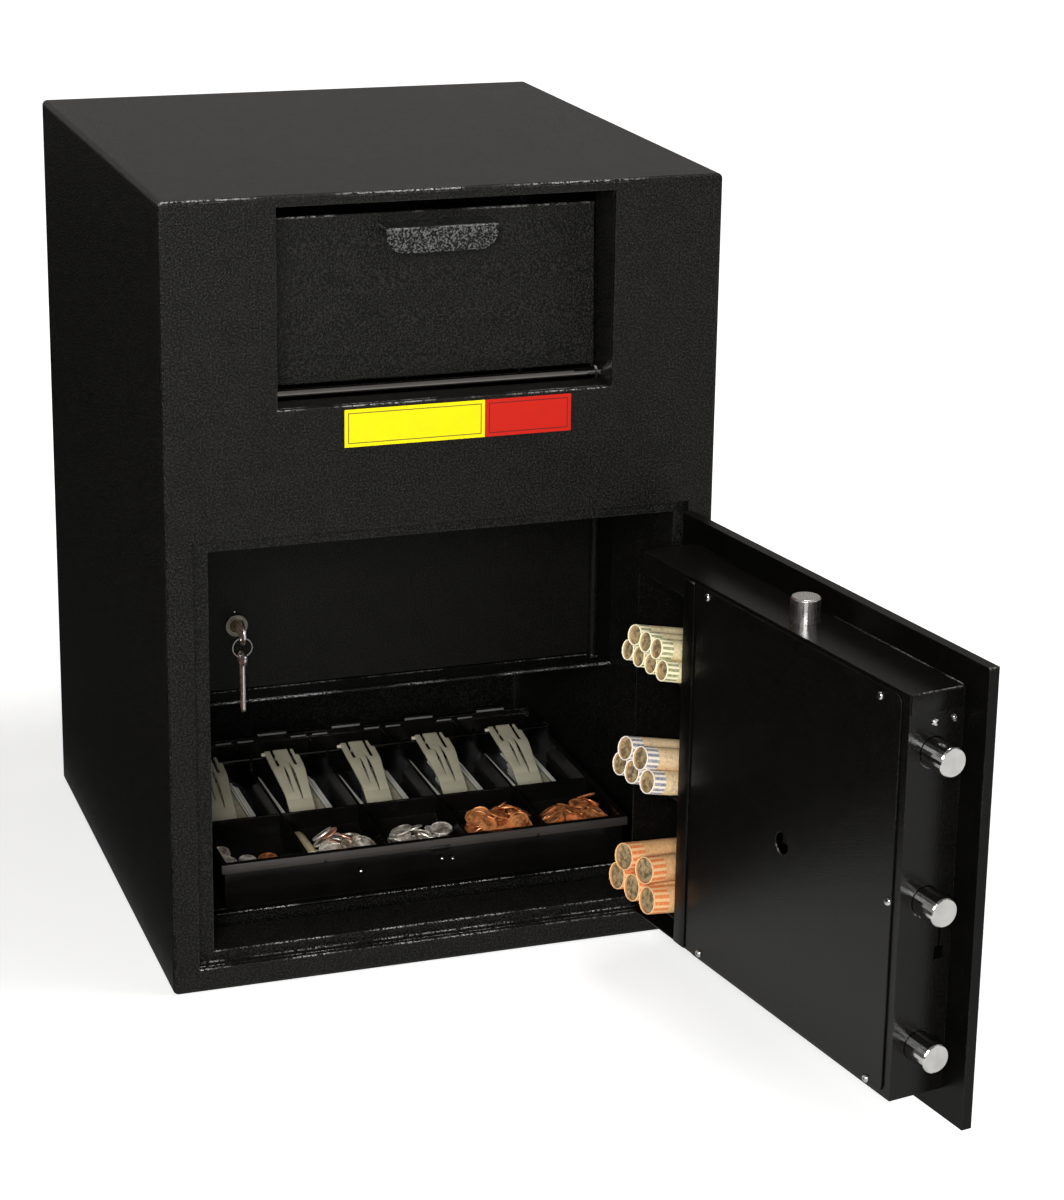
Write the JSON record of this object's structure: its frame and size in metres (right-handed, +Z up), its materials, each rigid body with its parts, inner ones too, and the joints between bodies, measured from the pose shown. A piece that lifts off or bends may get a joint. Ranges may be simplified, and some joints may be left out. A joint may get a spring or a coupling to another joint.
{
  "type": "drop safe with deposit drawer",
  "caption": "Steel drop safe with a tilting deposit hopper, a bolt-work door with coin-roll rack, an inner locker and a sliding cash till.",
  "frame": {"origin": "centre of the cabinet's underside, on the floor", "axes": "+Z up, -Y out of the front, +X to the right seen from the front"},
  "size_m": [0.5762, 1.0194, 0.724],
  "materials": {
    "cabinet_powder": "satin black powder coat with fine orange peel",
    "black_sheet": "semi-gloss black paint",
    "chrome": "polished, lightly scuffed",
    "zinc_steel": "zinc plated",
    "lock_brass": "machined",
    "dial_plastic": "gloss black",
    "till_plastic": "moulded black",
    "weight_plastic": "moulded warm grey",
    "roll_paper": "kraft paper",
    "yellow_label": "printed yellow, bare",
    "red_label": "printed red, bare"
  },
  "bodies": {
    "cabinet": {"body_shell": "cabinet_powder", "back_plate": "cabinet_powder", "door_frame": "cabinet_powder", "hopper_frame": "cabinet_powder", "hopper_rod": "zinc_steel", "chute_floor": "black_sheet", "baffle_comb": "black_sheet", "rear_baffle": "black_sheet", "hinge_leaf_lower": "cabinet_powder", "hinge_leaf_upper": "cabinet_powder", "hinge_pin_lower": "zinc_steel", "hinge_pin_upper": "zinc_steel", "locker_shelf": "cabinet_powder", "locker_frame": "cabinet_powder", "locker_hinge_pin": "zinc_steel", "till_shelf": "cabinet_powder", "label_yellow": "yellow_label", "label_red": "red_label"},
    "hopper": {"hopper_panel": "cabinet_powder", "hopper_bucket": "cabinet_powder", "hopper_handle": "cabinet_powder"},
    "main_door": {"door_plate": "cabinet_powder", "door_hinge_leaf_lower": "cabinet_powder", "door_hinge_leaf_upper": "cabinet_powder", "boltwork_box": "black_sheet", "boltwork_cover": "black_sheet", "bolt_guide": "zinc_steel", "lock_case": "zinc_steel", "dial_ring": "dial_plastic", "handle_plate": "chrome", "coin_rack": "black_sheet", "coin_rolls_dime": "roll_paper", "coin_rolls_nickel": "roll_paper", "coin_rolls_quarter": "roll_paper"},
    "lock_dial": {"dial": "dial_plastic"},
    "handle": {"door_handle": "chrome", "handle_cam": "zinc_steel"},
    "side_bolts": {"bolt_carrier": "zinc_steel", "door_bolt_upper": "chrome", "door_bolt_middle": "chrome", "door_bolt_lower": "chrome"},
    "upper_bolt": {"top_bolt": "chrome", "top_bolt_link": "zinc_steel"},
    "locker": {"locker_door": "cabinet_powder", "cam_lock_body": "chrome"},
    "locker_lock": {"lock_plug": "lock_brass", "lock_cam": "zinc_steel", "locker_key": "zinc_steel"},
    "keys": {"key_ring": "chrome", "spare_key": "zinc_steel"},
    "till": {"till_tray": "till_plastic", "weight_rod": "zinc_steel"},
    "weight_1": {"bill_weight_1": "weight_plastic"},
    "weight_2": {"bill_weight_2": "weight_plastic"},
    "weight_3": {"bill_weight_3": "weight_plastic"},
    "weight_4": {"bill_weight_4": "weight_plastic"},
    "weight_5": {"bill_weight_5": "weight_plastic"}
  },
  "joints": [
    {"name": "main_door_swing", "type": "hinge", "parent": "cabinet", "child": "main_door", "pos_m": [0.2369, -0.2824, 0.2], "axis": [0, 0, 1], "range_deg": [-99.4, 75.6]},
    {"name": "hopper_tilt", "type": "hinge", "parent": "cabinet", "child": "hopper", "pos_m": [0, -0.232, 0.541], "axis": [1, 0, 0], "range_deg": [0, 55]},
    {"name": "dial_turn", "type": "hinge", "parent": "main_door", "child": "lock_dial", "pos_m": [0.25691, -0.54962, 0.24], "axis": [-0.9866, -0.1633, 0], "continuous": true},
    {"name": "handle_turn", "type": "hinge", "parent": "main_door", "child": "handle", "pos_m": [0.27128, -0.63644, 0.24], "axis": [-0.9866, -0.1633, 0], "range_deg": [0, 80]},
    {"name": "side_bolts_slide", "type": "slide", "parent": "main_door", "child": "side_bolts", "axis": [-0.1633, 0.9866, 0], "range_m": [0, 0.022]},
    {"name": "upper_bolt_slide", "type": "slide", "parent": "main_door", "child": "upper_bolt", "axis": [0, 0, -1], "range_m": [0, 0.02]},
    {"name": "locker_swing", "type": "hinge", "parent": "cabinet", "child": "locker", "pos_m": [0.228, -0.0335, 0.3], "axis": [0, 0, 1], "range_deg": [0, 68]},
    {"name": "locker_key_turn", "type": "hinge", "parent": "locker", "child": "locker_lock", "pos_m": [-0.1356, -0.03, 0.261], "axis": [0, 1, 0], "range_deg": [0, 90]},
    {"name": "key_ring_swing", "type": "hinge", "parent": "locker_lock", "child": "keys", "pos_m": [-0.1356, -0.0553, 0.254], "axis": [1, 0, 0], "range_deg": [-60, 10]},
    {"name": "till_slide", "type": "slide", "parent": "cabinet", "child": "till", "axis": [0, -1, 0], "range_m": [0, 0.12]},
    {"name": "weight_1_lift", "type": "hinge", "parent": "till", "child": "weight_1", "pos_m": [-0.1522, 0.04543, 0.09], "axis": [-1, 0, 0], "range_deg": [0, 40]},
    {"name": "weight_2_lift", "type": "hinge", "parent": "till", "child": "weight_2", "pos_m": [-0.0736, 0.04543, 0.09], "axis": [-1, 0, 0], "range_deg": [0, 40]},
    {"name": "weight_3_lift", "type": "hinge", "parent": "till", "child": "weight_3", "pos_m": [0.005, 0.04543, 0.09], "axis": [-1, 0, 0], "range_deg": [0, 40]},
    {"name": "weight_4_lift", "type": "hinge", "parent": "till", "child": "weight_4", "pos_m": [0.0836, 0.04543, 0.09], "axis": [-1, 0, 0], "range_deg": [0, 40]},
    {"name": "weight_5_lift", "type": "hinge", "parent": "till", "child": "weight_5", "pos_m": [0.1622, 0.04543, 0.09], "axis": [-1, 0, 0], "range_deg": [0, 40]}
  ],
  "couplings": [
    {"joint": "side_bolts_slide", "follows": "handle_turn", "m_per_rad": 0.015756},
    {"joint": "upper_bolt_slide", "follows": "handle_turn", "m_per_rad": 0.014323}
  ]
}
